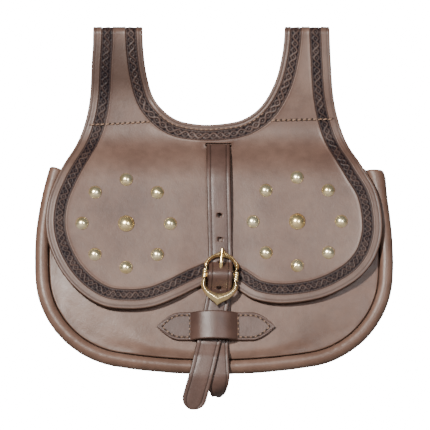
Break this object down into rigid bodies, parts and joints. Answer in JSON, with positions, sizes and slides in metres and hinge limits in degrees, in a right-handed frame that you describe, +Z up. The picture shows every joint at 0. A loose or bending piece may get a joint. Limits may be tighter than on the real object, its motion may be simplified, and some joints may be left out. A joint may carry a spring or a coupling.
{
  "type": "belt pouch",
  "caption": "Kidney-shaped leather belt pouch with belt loops, a two-lobed studded flap, rolled piping and a buckled closing strap with keeper",
  "frame": {"origin": "middle of the belt that passes through both belt loops", "axes": "+Z up, the pouch's front looks towards -Y, +X along the belt"},
  "size_m": [0.2504, 0.0649, 0.268],
  "materials": {
    "flap_leather": "satin",
    "body_leather": "satin",
    "strap_leather": "satin",
    "thread": "matte",
    "cord": "matte",
    "brass": "polished"
  },
  "bodies": {
    "pouch": {"back_panel": "body_leather", "front_panel": "body_leather", "gusset": "body_leather", "piping": "body_leather", "piping_core": "cord", "yoke": "flap_leather", "belt_loop_left": "flap_leather", "belt_loop_right": "flap_leather", "keeper": "strap_leather", "buckle_strap": "strap_leather", "loop_stitches_left": "thread", "loop_stitches_right": "thread", "neck_stitches": "thread", "keeper_stitches": "thread", "back_seam_stitches": "thread"},
    "flap": {"flap_panel": "flap_leather", "flap_centre": "flap_leather", "stud_left_1": "brass", "stud_left_2": "brass", "stud_left_3": "brass", "stud_left_4": "brass", "stud_left_5": "brass", "stud_left_6": "brass", "stud_left_7": "brass", "stud_left_8": "brass", "stud_left_centre": "brass", "stud_right_1": "brass", "stud_right_2": "brass", "stud_right_3": "brass", "stud_right_4": "brass", "stud_right_5": "brass", "stud_right_6": "brass", "stud_right_7": "brass", "stud_right_8": "brass", "stud_right_centre": "brass", "stud_burrs_left": "brass", "stud_burrs_right": "brass"},
    "closing_strap": {"closing_strap": "strap_leather"},
    "buckle": {"buckle_frame": "brass", "buckle_bar": "brass"},
    "tongue": {"buckle_tongue": "brass"}
  },
  "joints": [
    {"name": "flap_fold", "type": "hinge", "parent": "pouch", "child": "flap", "pos_m": [0, -0.00395, -0.046], "axis": [-1, 0, 0], "range_deg": [0, 100], "deforming": ["flap_centre"]},
    {"name": "strap_lift", "type": "hinge", "parent": "flap", "child": "closing_strap", "pos_m": [0.0029, -0.0096, -0.05208], "axis": [-1, 0, 0], "range_deg": [0, 80], "deforming": ["closing_strap"]},
    {"name": "buckle_tilt", "type": "hinge", "parent": "pouch", "child": "buckle", "pos_m": [0.0046, -0.04541, -0.14032], "axis": [-1, 0, 0], "range_deg": [-7, 5]},
    {"name": "tongue_swing", "type": "hinge", "parent": "buckle", "child": "tongue", "pos_m": [0.0046, -0.04541, -0.14032], "axis": [1, 0, 0], "range_deg": [0, 105]}
  ]
}
